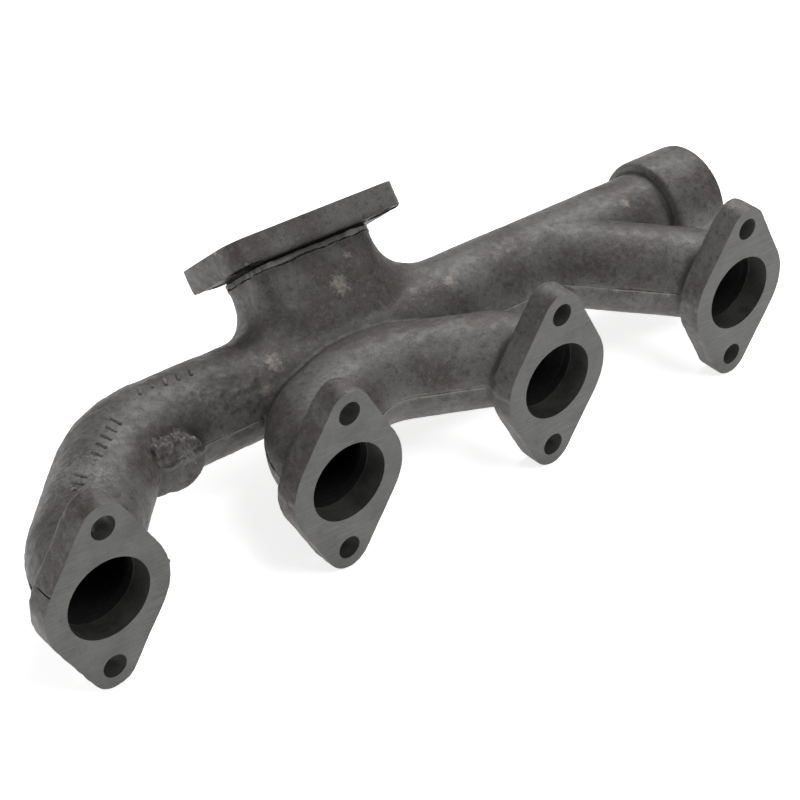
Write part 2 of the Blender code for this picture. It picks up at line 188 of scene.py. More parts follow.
# Uneven surfaces and edges: height, wavelength and seed of the noise; the flash adds its own seeds
SKIN_SWELL = (0.00025, 0.018, 3)
SKIN_GRAIN = (0.00042, 0.0055, 11)
SKIN_RAGGED = (0.0010, 0.0050, 23)
CALM_SHARE = 0.6
CALM_X = (-0.060, -0.030)
FLASH_EDGE = (0.0004, 0.012)
FLASH_CHIPS = (0.0003, 0.004)
FLASH_LIFT = (0.0006, 0.03)
NIB_SWELL = (0.7, 0.9, 5, 2)
LUG_WANDER = (0.0012, 0.006, 51)
LUG_GRAIN = (0.00030, 0.0022, 52)
LUG_SWELL = (0.0003, 0.006, 53)
LUG_CRUMBLE = (0.0030, 0.0046, 54)
UNDERCUT_WIDTH = (0.0006, 0.009, 81)
SCORE_WOBBLE = (0.0009, 0.007, 61)
SCORE_DEPTH = (0.0005, 0.0045, 71)

# Rows of raised tally marks: their kinds, first and last place, and half the height of a bar
BAR, PIP = "bar", "pip"
PLUMB_TOP = 0.2
MARK_STROKE = 0.00095
MARK_LEAN = math.radians(-20)
MARK_ROWS = (
    ((BAR,) * 5, Vector((-0.1395, -0.0555)), Vector((-0.1600, -0.0712)), 0.0033),
    ((BAR, BAR, PIP), Vector((-0.1735, -0.0805)), Vector((-0.1815, -0.0875)), 0.0033),
    ((BAR, PIP, BAR, BAR, BAR), Vector((-0.1185, -0.0432)), Vector((-0.0910, -0.0450)), 0.0027),
)

# Tones of the iron
SKIN_DARK = (0.068, 0.060, 0.056)
SKIN_PALE = (0.112, 0.107, 0.104)
STAIN = (0.055, 0.046, 0.042)
BLOOM = (0.165, 0.157, 0.150)
GRAIN_PALE = (0.20, 0.195, 0.19)
GRAIN_DARK = (0.022, 0.020, 0.019)
MOTTLE_PALE = (0.150, 0.147, 0.145)
MOTTLE_DARK = (0.030, 0.027, 0.026)
FLASH_PALE = (0.19, 0.185, 0.165)
# Pale worn edges under a painted highlight
EDGE_WEAR_AND_HIGHLIGHT = (0.27, 0.265, 0.255)
# Painted shade in the sharp inner corners
PAINTED_CORNER_SHADE = (0.024, 0.022, 0.020)
# Painted shade in the hollows and creases
PAINTED_HOLLOW_SHADE = (0.022, 0.020, 0.018)
CUT_DARK = (0.070, 0.070, 0.066)
CUT_PALE = (0.112, 0.112, 0.106)
CUT_BLOTCH = (0.060, 0.056, 0.050)
CUT_SPECK = (0.040, 0.038, 0.034)
CUT_LINE = (0.18, 0.18, 0.17)
# Dark scale in the gas ways, also painted shade in the cut grooves
SCALE_AND_SHADE_DARK = (0.006, 0.006, 0.006)
SCALE_AND_SHADE_PALE = (0.013, 0.012, 0.012)
RING_DARK = (0.26, 0.26, 0.265)
RING_PALE = (0.36, 0.36, 0.365)

# Scuffed and stained patches on the skin, and patches of painted shade in the creases along the log
# and beside the neck: place, reach and tone
TAN = (0.27, 0.235, 0.215)
ASH = (0.20, 0.195, 0.185)
RUST = (0.085, 0.050, 0.042)
# Painted shade for the patches in the creases
PAINTED_CREASE_SHADE = (0.034, 0.031, 0.029)
SCUFFS_AND_SHADE_PATCHES = (
    (Vector((0.000, -0.0425, -0.0135)), 0.012, TAN),
    (Vector((0.0115, -0.0345, -0.0045)), 0.005, TAN),
    (Vector((-0.0520, -0.0570, -0.0290)), 0.011, TAN),
    (Vector((-0.0610, -0.0650, -0.0370)), 0.009, TAN),
    (Vector((0.0600, -0.0560, -0.0285)), 0.009, TAN),
    (Vector((0.1850, -0.0550, -0.0275)), 0.007, TAN),
    (Vector((-0.1150, -0.0735, -0.0440)), 0.013, ASH),
    (Vector((-0.1720, -0.0760, -0.0320)), 0.034, ASH),
    (Vector((0.0400, -0.0950, -0.0265)), 0.007, RUST),
    (Vector((0.0520, -0.0990, -0.0260)), 0.006, RUST),
    # Patches of painted shade in the creases
    (Vector((-0.0840, -0.0540, -0.0300)), 0.034, PAINTED_CREASE_SHADE),
    (Vector((-0.1020, -0.0620, -0.0360)), 0.030, PAINTED_CREASE_SHADE),
    (Vector((-0.0560, -0.0420, -0.0260)), 0.020, PAINTED_CREASE_SHADE),
    (Vector((-0.0330, -0.0480, -0.0200)), 0.020, PAINTED_CREASE_SHADE),
    (Vector((0.1080, -0.0720, -0.0330)), 0.028, PAINTED_CREASE_SHADE),
)

# How finely the cast skin is modelled
VOXEL = 0.0012
FINE_VOXEL = 0.0006
SKIN_FACES = 150000
BEND_STEP = math.radians(3)
SHARP_ANGLE = math.radians(38)
WELD = 1e-6
LEAST_VERTICES = 1000

# Stock left on the machined faces, plugs that fill the holes, and how far cutters reach past a face
STOCK = 0.003
ON_FACE = 1e-5
PORT_PLUG = (0.018, 0.0225)
BOLT_PLUG_RADIUS = 0.0075
TURBO_PLUG_RADIUS = 0.0072
PLUG_INSET = 0.0003
DUCT_PLUG = (0.045, 0.0215)
SOCKET_PLUG_RADIUS = 0.0300
SOCKET_PLUG_OVERLAP = 0.001
COLLAR_MARGIN = 0.0008
COLLAR_DROP = 0.0005
CLEAR = 0.004
FACING_BOX = (Vector((-0.1, -0.06, 0)), Vector((0.1, 0.06, 0.02)))
SOCKET_FACING = 0.05
FACING_DEPTH = 0.02

# Studio: floor, soft lights (name, place, size, power) and the camera at the photograph's angle
FLOOR_HALF = 6
FLOOR_GAP = 0.0005
FLOOR_TONE = (0.93, 0.93, 0.93, 1)
FLOOR_ROUGHNESS = 0.9
FLOOR_GLOW = 0.75
WHITE = (1, 1, 1, 1)
WORLD_LIGHT = 0.20
WORLD_SEEN = 1.0
SOFTBOXES = (
    ("softbox_right", Vector((0.85, 0.45, 1.30)), 1.1, 20),
    ("softbox_front", Vector((0.1, -1.1, 1.7)), 0.9, 12),
    ("softbox_left", Vector((-1.4, 0.3, 0.6)), 0.7, 3.5),
)
CAMERA_PLACE = Vector((-0.53197923, -0.72119606, 0.53008727))
CAMERA_RIGHT = Vector((0.77096942, -0.6367187, 0.0139806))
CAMERA_UP = Vector((0.35999586, 0.45379865, 0.81515015))
CAMERA_AHEAD = Vector((0.52536572, 0.62342287, -0.57908098))
CAMERA_LENS = 93.36
CAMERA_SENSOR = 36
CAMERA_NEAR = 0.05

MILLIMETRES = 1000
QUARTER = math.pi / 2
AXIS_X = Vector((1, 0, 0))
UP = Vector((0, 0, 1))
# The third finish is the dark scale of the gas ways, also used as painted shade in cut grooves
CAST, MACHINED, SCALE_AND_SHADE = 0, 1, 2

MOUNTS = {mount["name"]: mount for mount in frame["record"]["mounts"]}
FACE_NORMAL = Vector(MOUNTS["turbo_face"]["axis"]).normalized()
FACE_ACROSS = FACE_NORMAL.cross(AXIS_X)
FACE_RISE = 0.0668
LOG_AXIS = -FACE_RISE * FACE_NORMAL
HEAD_Y = MOUNTS["port_face_1"]["pos_m"][1]
SOCKET_END = MOUNTS["socket_face"]["pos_m"][0]
PORT_X = [MOUNTS[f"port_face_{number}"]["pos_m"][0] for number in (1, 2, 3, 4)]


def head_point(x, setback, height=0.0):
    return Vector((x, HEAD_Y + setback, LOG_AXIS.z + height))


def face_point(x, across, rise):
    return AXIS_X * x + FACE_ACROSS * across + FACE_NORMAL * rise


# Numpy geometry ---------------------------------------------------------------------------------

def mesh_points(mesh):
    flat = np.empty(len(mesh.vertices) * 3, dtype=np.float32)
    mesh.vertices.foreach_get("co", flat)
    return flat.reshape(-1, 3).astype(float)


def set_points(mesh, points):
    mesh.vertices.foreach_set("co", np.ascontiguousarray(points, dtype=np.float32).ravel())
    mesh.update()


def mesh_edges(mesh):
    flat = np.empty(len(mesh.edges) * 2, dtype=np.int32)
    mesh.edges.foreach_get("vertices", flat)
    return flat.reshape(-1, 2)


def mesh_normals(mesh):
    flat = np.empty(len(mesh.vertices) * 3, dtype=np.float32)
    mesh.vertices.foreach_get("normal", flat)
    return flat.reshape(-1, 3).astype(float)


def mesh_graph(mesh):
    """The mesh's points, its edges, and how many edges meet at each point."""
    points = mesh_points(mesh)
    edges = mesh_edges(mesh)
    return points, edges, np.bincount(edges.ravel(), minlength=len(points)).astype(float)


def neighbour_mean(values, edges, degree):
    """Mean of each vertex's neighbours, for points or for single values."""
    columns = values.reshape(len(values), -1)
    result = np.empty_like(columns)
    for index in range(columns.shape[1]):
        column = columns[:, index]
        total = np.bincount(edges[:, 0], column[edges[:, 1]], len(column))
        total += np.bincount(edges[:, 1], column[edges[:, 0]], len(column))
        result[:, index] = total / degree
    return result.reshape(values.shape)


def smoothed(points, edges, degree, steps):
    """The points, each drawn halfway to its neighbours' mean again and again."""
    for _ in range(steps):
        points = points + 0.5 * (neighbour_mean(points, edges, degree) - points)
    return points


def lattice_hash(cell, seed):
    """A repeatable number between 0 and 1 for each cell of a lattice."""
    mixed = cell[:, 0] * 73856093 ^ cell[:, 1] * 19349663 ^ cell[:, 2] * 83492791 ^ seed * 2654435
    mixed = (mixed ^ (mixed >> 13)) * 1274126177 & 0x7FFFFFFF
    return ((mixed ^ (mixed >> 16)) & 0xFFFF) / 65535.0


def value_noise(points, wavelength, seed):
    """Smooth noise between 0 and 1 that changes over about one wavelength."""
    scaled = points / wavelength + 1000.0
    cell = np.floor(scaled).astype(np.int64)
    part = scaled - cell
    part = part * part * (3 - 2 * part)
    total = np.zeros(len(points))
    for corner in range(8):
        offset = np.array((corner & 1, corner >> 1 & 1, corner >> 2 & 1))
        weight = np.prod(np.where(offset, part, 1 - part), axis=1)
        total += weight * lattice_hash(cell + offset, seed)
    return total


def rough_noise(points, wavelength, seed, octaves=3):
    """Noise around zero with finer detail on top."""
    total = np.zeros(len(points))
    for octave in range(octaves):
        size = wavelength / 2 ** octave
        total += (value_noise(points, size, seed + octave) - 0.5) / 1.7 ** octave
    return total


def uneven(points, wave, share=1.0):
    """Noise of a given height, wavelength and seed, scaled by a share at each point."""
    height, *kind = wave
    return share * height * rough_noise(points, *kind)


def smooth_step(low, high, values):
    part = np.clip((values - low) / (high - low), 0, 1)
    return part * part * (3 - 2 * part)


# Solid pieces and cutters -----------------------------------------------------------------------

def link(name, mesh):
    item = bpy.data.objects.new(name, mesh)
    bpy.context.scene.collection.objects.link(item)
    return item


def discard(item):
    data = item.data
    bpy.data.objects.remove(item, do_unlink=True)
    if isinstance(data, bpy.types.Mesh):
        bpy.data.meshes.remove(data)


def adopt(item, mesh):
    """Give the item this mesh in place of its own one and its modifiers."""
    item.modifiers.clear()
    old = item.data
    item.data = mesh
    bpy.data.meshes.remove(old)


def evaluated_mesh(item):
    bpy.context.view_layer.update()
    depsgraph = bpy.context.evaluated_depsgraph_get()
    mesh = bpy.data.meshes.new_from_object(item.evaluated_get(depsgraph))
    mesh.transform(item.matrix_world)
    return mesh


def closed_mesh(source):
    """The mesh that a curve or a modified object makes, welded and facing outwards."""
    mesh = evaluated_mesh(source)
    discard(source)
    body = bmesh.new()
    body.from_mesh(mesh)
    bmesh.ops.remove_doubles(body, verts=body.verts, dist=WELD)
    bmesh.ops.recalc_face_normals(body, faces=body.faces)
    body.to_mesh(mesh)
    body.free()
    return mesh


def solid(name, fill):
    """A mesh object whose body is made by fill(body)."""
    body = bmesh.new()
    fill(body)
    mesh = bpy.data.meshes.new(name)
    body.to_mesh(mesh)
    body.free()
    return link(name, mesh)


def add_cylinder(body, start, end, radius, sides):
    axis = end - start
    turn = axis.to_track_quat("Z", "Y").to_matrix().to_4x4()
    bmesh.ops.create_cone(
        body,
        cap_ends=True,
        segments=sides,
        radius1=radius,
        radius2=radius,
        depth=axis.length,
        matrix=Matrix.Translation((start + end) / 2) @ turn,
    )


def cylinder(name, start, end, radius, sides=96):
    return solid(name, lambda body: add_cylinder(body, start, end, radius, sides))


def box(name, low, high):
    def fill(body):
        scale = Matrix.Diagonal((*(high - low), 1))
        bmesh.ops.create_cube(body, size=1, matrix=Matrix.Translation((low + high) / 2) @ scale)
    return solid(name, fill)


def sweep(name, points, radii, sides=64):
    """A round bar along points, with one radius for each point."""
    curve = bpy.data.curves.new(name, "CURVE")
    curve.dimensions = "3D"
    curve.bevel_depth = 1.0
    curve.bevel_resolution = (sides - 4) // 2
    curve.use_fill_caps = True
    spline = curve.splines.new("POLY")
    spline.points.add(len(points) - 1)
    for point, place, radius in zip(spline.points, points, radii):
        point.co = (*place, 1)
        point.radius = radius
    return link(name, closed_mesh(link(name, curve)))


def slab(name, outlines, thickness):
    """A flat piece on the XY plane; a second outline inside the first one is a hole."""
    curve = bpy.data.curves.new(name, "CURVE")
    curve.dimensions = "2D"
    curve.fill_mode = "BOTH"
    curve.extrude = thickness / 2
    for outline in outlines:
        spline = curve.splines.new("POLY")
        spline.points.add(len(outline) - 1)
        for point, place in zip(spline.points, outline):
            point.co = (place.x, place.y, 0, 1)
        spline.use_cyclic_u = True
    return link(name, closed_mesh(link(name, curve)))


def turning(name, profile, sides):
    """A body turned about the log axis from a profile of (x, radius) stations."""
    mesh = bpy.data.meshes.new(name)
    edges = [(index, index + 1) for index in range(len(profile) - 1)]
    mesh.from_pydata([Vector((x, radius, 0)) for x, radius in profile], edges, [])
    source = link(name, mesh)
    source.location = (0, LOG_AXIS.y, LOG_AXIS.z)
    screw = source.modifiers.new("turn", "SCREW")
    screw.axis = "X"
    screw.steps = sides
    screw.render_steps = sides
    screw.use_merge_vertices = True
    screw.merge_threshold = WELD
    return link(name, closed_mesh(source))


def rounded_rectangle(half, corners, count=12):
    """A rectangle's outline, with one corner radius for each corner from +X +Y round to +X -Y."""
    outline = []
    signs = ((1, 1), (-1, 1), (-1, -1), (1, -1))
    for index, ((sx, sy), corner) in enumerate(zip(signs, corners)):
        for step in range(count + 1):
            angle = QUARTER * (index + step / count)
            x = sx * (half.x - corner) + corner * math.cos(angle)
            y = sy * (half.y - corner) + corner * math.sin(angle)
            outline.append(Vector((x, y)))
    return outline


def neck_outline(margin, count=12):
    """The neck's outline under the plate, with a margin outside its wall."""
    outline = rounded_rectangle(NECK_HALF + Vector((margin, margin)), NECK_CORNERS, count)
    return [point + Vector((NECK_CENTRE_X, 0)) for point in outline]


def combine(target, tools, operation, finish=CAST):
    """Apply Booleans with all the tools; their faces leave their finish on the target."""
    for tool in tools:
        for material in target.data.materials:
            tool.data.materials.append(material)
        tool.data.polygons.foreach_set("material_index", [finish] * len(tool.data.polygons))
        modifier = target.modifiers.new(tool.name, "BOOLEAN")
        modifier.operation = operation
        modifier.solver = "MANIFOLD"
        modifier.object = tool
    mesh = evaluated_mesh(target)
    if len(mesh.vertices) < LEAST_VERTICES:
        raise ValueError(f"{tools[0].name} left nothing of {target.name}")
    adopt(target, mesh)
    for tool in tools:
        discard(tool)


def joined(tools):
    """Tools that don't touch each other, as one tool."""
    body = bmesh.new()
    for tool in tools:
        body.from_mesh(tool.data)
    mesh = bpy.data.meshes.new(tools[0].name)
    body.to_mesh(mesh)
    body.free()
    item = link(tools[0].name, mesh)
    for tool in tools:
        discard(tool)
    return item


# Centrelines ------------------------------------------------------------------------------------

def centreline(corners, bends):
    """Points along a line of corners, each inner corner rounded to its bend radius."""
    points = [corners[0]]
    for before, corner, after, bend in zip(corners, corners[1:], corners[2:], bends):
        arriving = (before - corner).normalized()
        leaving = (after - corner).normalized()
        half = arriving.angle(leaving) / 2
        centre = corner + (arriving + leaving).normalized() * bend / math.sin(half)
        start = corner + arriving * bend / math.tan(half) - centre
        end = corner + leaving * bend / math.tan(half) - centre
        turn = start.angle(end)
        steps = max(2, math.ceil(turn / BEND_STEP))
        axis = start.cross(end)
        for index in range(steps + 1):
            points.append(centre + Matrix.Rotation(turn * index / steps, 3, axis) @ start)
    points.append(corners[-1])
    return points


def dense(points, spacing=0.0015):
    """The same line with points at most spacing apart."""
    result = [points[0]]
    for start, end in zip(points, points[1:]):
        steps = max(1, math.ceil((end - start).length / spacing))
        result += [start.lerp(end, step / steps) for step in range(1, steps + 1)]
    return result


def elbow_corners():
    x = PORT_X[0]
    corners = [head_point(x, TUBE_START), head_point(x, ELBOW_STUB)]
    return corners + [head_point(x + ELBOW_REACH, LOG_SETBACK)]


def log_line():
    end = head_point(SOCKET_START + LOG_OVERRUN, LOG_SETBACK)
    return centreline(elbow_corners() + [end], ELBOW_BENDS)


def arch_line():
    right = PORT_X[2]
    left = PORT_X[1]
    corners = [
        head_point(right, TUBE_START),
        head_point(right, ARCH_STUBS[0]),
        head_point(right + ARCH_CROWN.x, ARCH_CROWN.y),
        head_point(left, ARCH_STUBS[1]),
        head_point(left, TUBE_START),
    ]
    return centreline(corners, ARCH_BENDS)


def runner_line():
    x = PORT_X[3]
    corners = [head_point(x, TUBE_START), head_point(x, RUNNER_STUB)]
    corners.append(head_point(x - RUNNER_REACH, LOG_SETBACK))
    return centreline(corners, RUNNER_BENDS)


# Cast skin --------------------------------------------------------------------------------------

def turbo_bolts():
    return [(sx * TURBO_BOLT.x, sy * TURBO_BOLT.y) for sx in (1, -1) for sy in (1, -1)]


def stock_mesh():
    """The CAD casting with machining stock on its faces and its holes filled, as loose shells."""
    body = bmesh.new()
    body.from_mesh(frame["nodes"]["manifold_casting"].data)
    bmesh.ops.remove_doubles(body, verts=body.verts, dist=WELD)
    for vert in body.verts:
        if vert.co.y < HEAD_Y + ON_FACE:
            vert.co.y -= STOCK
        if vert.co.dot(FACE_NORMAL) > -ON_FACE:
            vert.co += FACE_NORMAL * STOCK
        if vert.co.x > SOCKET_END - ON_FACE:
            vert.co.x += STOCK
    depth, radius = PORT_PLUG
    for x in PORT_X:
        add_cylinder(body, head_point(x, -STOCK), head_point(x, depth), radius, 48)
        for height in BOLT_HEIGHTS:
            start = head_point(x, -STOCK, height)
            end = head_point(x, FLANGE_THICKNESS - PLUG_INSET, height)
            add_cylinder(body, start, end, BOLT_PLUG_RADIUS, 24)
    for x, across in turbo_bolts():
        start = face_point(x, across, -PLATE_THICKNESS + PLUG_INSET)
        add_cylinder(body, start, face_point(x, across, STOCK), TURBO_PLUG_RADIUS, 24)
    depth, radius = DUCT_PLUG
    for side in (-1, 1):
        x = side * DUCT_X
        add_cylinder(body, face_point(x, 0, -depth), face_point(x, 0, STOCK), radius, 32)
    start = head_point(SOCKET_START - SOCKET_PLUG_OVERLAP, LOG_SETBACK)
    end = head_point(SOCKET_END + STOCK, LOG_SETBACK)
    add_cylinder(body, start, end, SOCKET_PLUG_RADIUS, 96)
    collar = slab("collar", [neck_outline(COLLAR_MARGIN)], BAND_HEIGHT)
    collar.data.transform(face_frame(0, -PLATE_THICKNESS + COLLAR_DROP - BAND_HEIGHT / 2))
    shells = [
        collar,
        sweep("log", log_line(), [LOG_RADIUS] * len(log_line()), 96),
        sweep("arch", arch_line(), [RUNNER_RADIUS] * len(arch_line()), 96),
        sweep("runner", runner_line(), [RUNNER_RADIUS] * len(runner_line()), 96),
    ]
    for shell in shells:
        body.from_mesh(shell.data)
        discard(shell)
    mesh = bpy.data.meshes.new("manifold_skin")
    body.to_mesh(mesh)
    body.free()
    return mesh


def largest_part(mesh):
    """Drop the specks that remeshing leaves beside the main body."""
    edges = mesh_edges(mesh)
    label = np.arange(len(mesh.vertices))
    while True:
        lowest = np.minimum(label[edges[:, 0]], label[edges[:, 1]])
        spread = label.copy()
        np.minimum.at(spread, edges[:, 0], lowest)
        np.minimum.at(spread, edges[:, 1], lowest)
        spread = spread[spread]
        if (spread == label).all():
            break
        label = spread
    main = np.bincount(label).argmax()
    body = bmesh.new()
    body.from_mesh(mesh)
    specks = [vert for vert, mark in zip(body.verts, label) if mark != main]
    bmesh.ops.delete(body, geom=specks, context="VERTS")
    body.to_mesh(mesh)
    body.free()


def voxel_skin(name, mesh, size):
    """One closed skin round all the shells in the mesh."""
    item = link(name, mesh)
    remesh = item.modifiers.new("skin", "REMESH")
    remesh.mode = "VOXEL"
    remesh.voxel_size = size
    remesh.adaptivity = 0
    skin = evaluated_mesh(item)
    discard(item)
    largest_part(skin)
    return link(name, skin)


def thin_out(item, faces):
    """Bring the skin down to about this many triangles."""
    triangles = 2 * len(item.data.vertices)
    if triangles > faces:
        thin = item.modifiers.new("thin", "DECIMATE")
        thin.ratio = faces / triangles
        adopt(item, evaluated_mesh(item))


def near(points, place, reach):
    """1 up to half the reach from a place, falling to 0 at the reach."""
    distance = np.linalg.norm(points - np.array(place), axis=1)
    return 1 - smooth_step(0.5, 1.0, distance / reach)


def relax(mesh):
    """Round every edge a little, and fill the inner corners with a cast fillet."""
    points, edges, degree = mesh_graph(mesh)
    points = smoothed(points, edges, degree, ROUND_STEPS)
    set_points(mesh, points)
    lean = neighbour_mean(points, edges, degree) - points
    hollow = np.clip((lean * mesh_normals(mesh)).sum(1) / VOXEL, 0, None)
    crease = smooth_step(*CREASE_LEVELS, hollow)
    crease *= 1 - smooth_step(*SOCKET_STEP_X, points[:, 0])
    crease *= 1 - near(points, LUG_CENTRE, LUG_CLEAR)
    crease *= 1 - smooth_step(*BAND_RISE, points @ np.array(FACE_NORMAL))
    for _ in range(SPREAD_STEPS):
        crease = np.maximum(crease, SPREAD_GAIN * neighbour_mean(crease, edges, degree))
        crease = np.clip(crease, 0, 1)
    for _ in range(BLUR_STEPS):
        crease = neighbour_mean(crease, edges, degree)
    soft = np.zeros(len(points))
    for place, reach in SOFT_CORNERS:
        soft = np.maximum(soft, near(points, place, reach))
    for step in range(SOFT_STEPS):
        weight = np.maximum(crease, soft) if step < FILLET_STEPS else soft
        lean = neighbour_mean(points, edges, degree) - points
        points += FILLET_RATE * weight[:, None] * lean
    set_points(mesh, points)


def cavity(mesh):
    """How hollow the skin is at each point, over about a fillet's width, in millimetres."""
    points, edges, degree = mesh_graph(mesh)
    steps = max(CAVITY_STEPS, int(CAVITY_REACH ** 2 / VOXEL ** 2))
    lean = smoothed(points, edges, degree, steps) - points
    depth = (lean * mesh_normals(mesh)).sum(1) * MILLIMETRES
    for _ in range(CAVITY_BLUR):
        depth = neighbour_mean(depth, edges, degree)
    return points, depth


def store_cavity(mesh, points, depth):
    """Keep the cavity as an attribute of the finished mesh, by nearest point of the skin; it sets
    the painted shade in the hollows.
    """
    tree = KDTree(len(points))
    for index, point in enumerate(points):
        tree.insert(point, index)
    tree.balance()
    nearest = [tree.find(vert.co)[1] for vert in mesh.vertices]
    layer = mesh.attributes.new("cavity", "FLOAT", "POINT")
    layer.data.foreach_set("value", np.ascontiguousarray(depth[nearest], dtype=np.float32))


def roughen(mesh):
    """Uneven sand-cast skin, rougher towards the elbow and roughest on the log beside the arch."""
    points = mesh_points(mesh)
    coarse = 1 - CALM_SHARE * smooth_step(*CALM_X, points[:, 0])
    swell = uneven(points, SKIN_SWELL)
    swell += uneven(points, SKIN_GRAIN, coarse)
    swell += uneven(points, SKIN_RAGGED, near(points, RAGGED_PLACE, RAGGED_REACH))
    points += mesh_normals(mesh) * swell[:, None]
    set_points(mesh, points)


# Flash, marks and machining ---------------------------------------------------------------------

def ragged_edge(places, reach, seed):
    noise = uneven(places, (*FLASH_EDGE, seed)) + uneven(places, (*FLASH_CHIPS, seed + 7))
    return reach + noise


def fin(name, points, reach, seed):
    """A thin ragged web in the parting plane, which shows as flash along both sides of a tube."""
    points = dense(points)
    places = np.array([tuple(point) for point in points])
    left = ragged_edge(places, reach, seed)
    right = ragged_edge(places, reach, seed + 3)
    lift = uneven(places, (*FLASH_LIFT, seed + 5))

    def fill(body):
        loops = []
        for index, point in enumerate(points):
            before = points[max(index - 1, 0)]
            after = points[min(index + 1, len(points) - 1)]
            ahead = (after - before).normalized()
            side = Vector((ahead.y, -ahead.x, 0))
            base = point + UP * (lift[index] + FLASH_RISE)
            half = UP * FLASH_THICKNESS / 2
            ring = (base + side * right[index] + half, base - side * left[index] + half)
            ring += (base - side * left[index] - half, base + side * right[index] - half)
            loops.append([body.verts.new(place) for place in ring])
        for lower, upper in zip(loops, loops[1:]):
            for index in range(4):
                following = (index + 1) % 4
                body.faces.new((lower[index], lower[following], upper[following], upper[index]))
        body.faces.new(list(reversed(loops[0])))
        body.faces.new(loops[-1])
        bmesh.ops.recalc_face_normals(body, faces=body.faces)
    return solid(name, fill)


def nib():
    """A ragged crumb of iron on the edge of the first flange."""
    def fill(body):
        bmesh.ops.create_icosphere(body, subdivisions=3, radius=1)
        places = np.array([tuple(vert.co) for vert in body.verts])
        for vert, swell in zip(body.verts, 1 + uneven(places, NIB_SWELL)):
            vert.co *= swell * NIB_SIZE
            vert.co += NIB_PLACE
    return solid("nib", fill)


def broken_lug():
    """The lug in the elbow: a plain lower half, and a proud, crumbled upper half."""
    body = bmesh.new()
    for centre in (LUG_CENTRE, LUG_CENTRE + LUG_SPREAD):
        add_cylinder(body, centre, centre + Vector((0, LUG_LENGTH, 0)), LUG_RADIUS, 96)
    mesh = bpy.data.meshes.new("broken_lug")
    body.to_mesh(mesh)
    body.free()
    lug = voxel_skin("broken_lug", mesh, FINE_VOXEL)
    points = smoothed(*mesh_graph(lug.data), ROUND_STEPS)
    set_points(lug.data, points)
    above = points[:, 2] - LUG_CENTRE.z - LUG_STEP + uneven(points, LUG_WANDER)
    upper = smooth_step(-LUG_EDGE, LUG_EDGE, above)
    lip = np.exp(-((above - LIP_PLACE) / LIP_WIDTH) ** 2)
    slant = (points[:, 2] - RIDGE_Z) + RIDGE_SLOPE * (points[:, 0] - RIDGE_X)
    ridge = np.exp(-(slant / RIDGE_WIDTH) ** 2)
    ridge *= smooth_step(0.0, RIDGE_FADE, points[:, 0] - RIDGE_START)
    swell = uneven(points, LUG_GRAIN) + uneven(points, LUG_SWELL)
    broken = LUG_PROUD + uneven(points, LUG_CRUMBLE) + RIDGE_HEIGHT * ridge + LIP_HEIGHT * lip
    swell += upper * broken
    points += mesh_normals(lug.data) * swell[:, None]
    set_points(lug.data, points)
    return lug


def add_flash(casting):
    tools = [
        fin("flash_log", log_line(), LOG_RADIUS + LOG_FLASH, 100),
        fin("flash_arch", arch_line(), RUNNER_RADIUS + RUNNER_FLASH, 200),
        fin("flash_runner", runner_line(), RUNNER_RADIUS + RUNNER_FLASH, 300),
        nib(),
        broken_lug(),
    ]
    combine(casting, tools, "UNION")


def skin_point(tree, x, y):
    """Where a plumb line at x, y first meets the skin, and the skin's direction there."""
    place, normal, _, _ = tree.ray_cast(Vector((x, y, PLUMB_TOP)), -UP)
    return place, normal


def add_marks(casting):
    """Plain foundry tally marks in three rows of slanted bars and pips, with no lettering."""
    tree = BVHTree.FromObject(casting, bpy.context.evaluated_depsgraph_get())
    tools = []
    for row, (kinds, start, end, half) in enumerate(MARK_ROWS):
        for index, kind in enumerate(kinds):
            x, y = start.lerp(end, index / (len(kinds) - 1))
            place, normal = skin_point(tree, x, y)
            ahead = (end - start).to_3d().normalized()
            across = normal.cross(ahead).normalized()
            basis = Matrix((across.cross(normal), across, normal)).transposed().to_4x4()
            matrix = Matrix.Translation(place) @ basis @ Matrix.Rotation(MARK_LEAN, 4, "Z")
            reach = half - MARK_STROKE if kind == BAR else 0

            def fill(body):
                bmesh.ops.create_icosphere(body, subdivisions=3, radius=MARK_STROKE)
                for vert in body.verts:
                    if abs(vert.co.y) > WELD:
                        vert.co.y += math.copysign(reach, vert.co.y)
                    vert.co = matrix @ vert.co
            tools.append(solid(f"mark_{row}_{index}", fill))
    combine(casting, [joined(tools)], "UNION")


